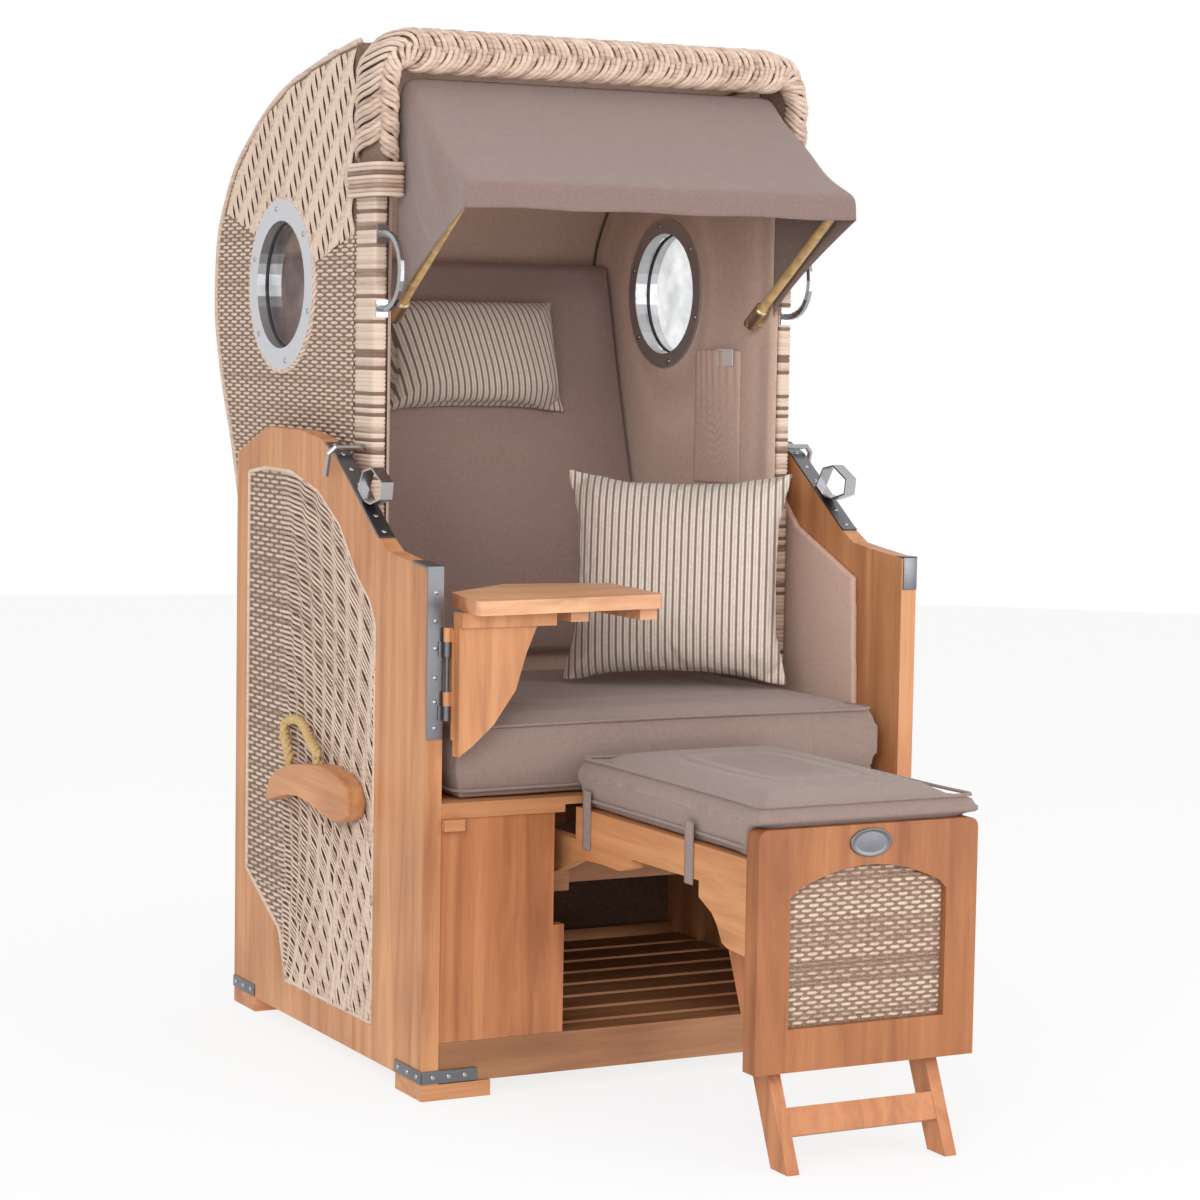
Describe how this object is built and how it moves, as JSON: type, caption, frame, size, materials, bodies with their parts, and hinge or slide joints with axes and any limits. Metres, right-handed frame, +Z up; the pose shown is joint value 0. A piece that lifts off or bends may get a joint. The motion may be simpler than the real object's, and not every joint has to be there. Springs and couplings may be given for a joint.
{
  "type": "hooded beach chair",
  "caption": "Hooded basket chair for one person, of teak and woven strand, with tilting hood, folding awning, side tray, cushions and a pull-out footrest on a folding leg.",
  "frame": {"origin": "on the floor under the middle of the chair's box, with the footrest pulled out", "axes": "+Z up; -Y to the front, where the footrest and the open side of the hood face; +X to the viewer's right when facing the chair"},
  "size_m": [0.954, 1.6396, 1.665],
  "materials": {
    "teak": "oiled teak, warm orange brown",
    "teak_inside": "plain teak boards inside and under",
    "wicker": "woven flat strand, cream with brown streaks",
    "cushion": "taupe woven cloth over foam",
    "lining": "pink taupe lining cloth",
    "awning_cloth": "taupe sun cloth",
    "stripes": "cream and taupe striped cloth",
    "steel": "polished steel",
    "pale_wood": "pale turned wood",
    "flange": "polished ring",
    "pane": "clear pane",
    "rope": "straw coloured laid rope"
  },
  "bodies": {
    "chair": {"side_frame_left": "teak", "side_frame_right": "teak", "side_wicker_left": "wicker", "side_wicker_right": "wicker", "side_lining_left": "lining", "side_lining_right": "lining", "foot_front_left": "teak_inside", "foot_front_right": "teak_inside", "foot_rear_left": "teak_inside", "foot_rear_right": "teak_inside", "base_floor": "teak", "front_panel_left": "teak", "front_panel_right": "teak", "seat_rail": "teak", "seat_slats": "teak_inside", "back_panel": "wicker", "footrest_runners": "teak_inside", "seat_cushion": "cushion", "square_pillow": "stripes", "tray_hinge": "steel", "lock_strip_left": "steel", "lock_strip_right": "steel", "hood_axle": "steel"},
    "hood": {"hood_side_left": "wicker", "hood_side_right": "wicker", "hood_shell": "wicker", "hood_post_left": "wicker", "hood_post_right": "wicker", "hood_braid": "wicker", "hood_lining": "lining", "porthole_ring_left": "flange", "porthole_ring_right": "flange", "porthole_pane_left": "pane", "porthole_pane_right": "pane", "back_cushion": "cushion", "neck_pillow": "stripes", "grab_bow_left": "steel", "grab_bow_right": "steel", "awning_cloth": "awning_cloth"},
    "awning": {"awning_arm_left": "pale_wood", "awning_arm_right": "pale_wood", "awning_bar": "pale_wood"},
    "tray": {"tray_support": "teak", "tray_top": "teak"},
    "footrest": {"footrest_frame": "teak", "footrest_wicker": "wicker", "footrest_rail_left": "teak", "footrest_rail_right": "teak", "footrest_slats": "teak_inside", "footrest_cushion": "cushion", "leg_axle": "steel"},
    "leg": {"prop_leg": "teak"},
    "carry_left": {"carry_grip_left": "teak", "carry_rope_left": "rope"},
    "carry_right": {"carry_grip_right": "teak", "carry_rope_right": "rope"},
    "lever_left": {"catch_lever_left": "steel"},
    "lever_right": {"catch_lever_right": "steel"},
    "rod_left": {"lock_rod_left": "steel"},
    "rod_right": {"lock_rod_right": "steel"}
  },
  "joints": [
    {"name": "hood_tilt", "type": "hinge", "parent": "chair", "child": "hood", "pos_m": [0, 0.50781, 0.53], "axis": [-1, 0, 0], "range_deg": [0, 45]},
    {"name": "awning_fold", "type": "hinge", "parent": "hood", "child": "awning", "pos_m": [0, 0.15279, 1.203], "axis": [-1, 0, 0], "range_deg": [0, 50], "deforming": ["awning_cloth"]},
    {"name": "tray_swing", "type": "hinge", "parent": "chair", "child": "tray", "pos_m": [-0.41, -0.23222, 0.778], "axis": [0, 0, 1], "range_deg": [-90, 0]},
    {"name": "footrest_slide", "type": "slide", "parent": "chair", "child": "footrest", "axis": [0, 1, 0], "range_m": [0, 0.5], "deforming": ["footrest_cushion"]},
    {"name": "leg_fold", "type": "hinge", "parent": "footrest", "child": "leg", "pos_m": [0, -0.61198, 0.408], "axis": [1, 0, 0], "range_deg": [0, 114]},
    {"name": "carry_swing_left", "type": "hinge", "parent": "chair", "child": "carry_left", "pos_m": [-0.4464, 0.29778, 0.53425], "axis": [0, 1, 0], "range_deg": [0, 80]},
    {"name": "carry_swing_right", "type": "hinge", "parent": "chair", "child": "carry_right", "pos_m": [0.4464, 0.29778, 0.53425], "axis": [0, -1, 0], "range_deg": [0, 80]},
    {"name": "catch_lift_left", "type": "hinge", "parent": "chair", "child": "lever_left", "pos_m": [-0.426, 0.06278, 0.92634], "axis": [-1, 0, 0], "range_deg": [0, 35]},
    {"name": "catch_lift_right", "type": "hinge", "parent": "chair", "child": "lever_right", "pos_m": [0.426, 0.06278, 0.92634], "axis": [-1, 0, 0], "range_deg": [0, 35]},
    {"name": "rod_turn_left", "type": "hinge", "parent": "hood", "child": "rod_left", "pos_m": [-0.391, 0.13778, 0.99099], "axis": [-1, 0, 0], "range_deg": [0, 90]},
    {"name": "rod_turn_right", "type": "hinge", "parent": "hood", "child": "rod_right", "pos_m": [0.391, 0.13778, 0.99099], "axis": [-1, 0, 0], "range_deg": [0, 90]}
  ]
}
